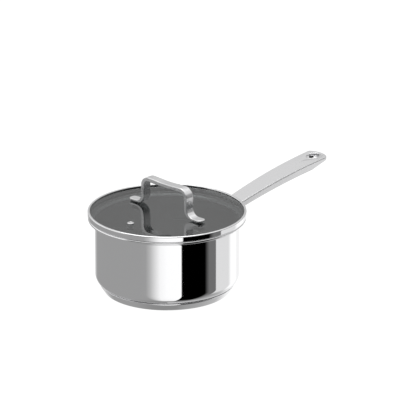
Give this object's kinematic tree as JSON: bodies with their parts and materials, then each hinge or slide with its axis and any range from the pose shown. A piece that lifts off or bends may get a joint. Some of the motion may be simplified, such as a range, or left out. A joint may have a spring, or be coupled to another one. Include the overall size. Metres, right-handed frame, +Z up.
{
  "type": "saucepan with glass lid",
  "caption": "Straight-sided steel saucepan with a stepped rim, bonded base, long hollow handle, and a flat glass lid with rim band, strap handle and steam vent.",
  "frame": {"origin": "centre of the flat underside of the base, on the pot's axis", "axes": "+Z up along the pot's axis, +X along the long handle, +Y along the lid's strap"},
  "size_m": [0.3369, 0.1778, 0.1267],
  "materials": {
    "polished_steel": "mirror-polished stainless steel",
    "satin_steel": "satin-brushed stainless steel",
    "aluminium_core": "plain rolled aluminium",
    "lid_glass": "clear tempered glass",
    "silicone": "matt moulded silicone"
  },
  "bodies": {
    "pot": {"pot_body": "polished_steel", "base_core_disc": "aluminium_core", "base_cap": "polished_steel", "handle_bracket": "satin_steel", "handle_channel": "satin_steel", "handle_top_plate": "satin_steel", "hanging_sleeve": "polished_steel"},
    "lid_band": {"lid_rim_band": "polished_steel"},
    "lid": {"lid_glass": "lid_glass", "vent_eyelet": "polished_steel", "vent_washer": "satin_steel", "lid_strap": "satin_steel", "foot_pad_back": "silicone", "foot_pad_front": "silicone", "glass_pad_back": "silicone", "glass_pad_front": "silicone", "cup_washer_back": "satin_steel", "cup_washer_front": "satin_steel", "strap_nut_back": "satin_steel", "strap_nut_front": "satin_steel"}
  },
  "joints": [
    {"name": "lid_lift", "type": "slide", "parent": "pot", "child": "lid_band", "axis": [0, 0, 1], "range_m": [0, 0.12]},
    {"name": "lid_turn", "type": "hinge", "parent": "lid_band", "child": "lid", "pos_m": [0, 0, 0.0904], "axis": [0, 0, 1], "continuous": true}
  ]
}
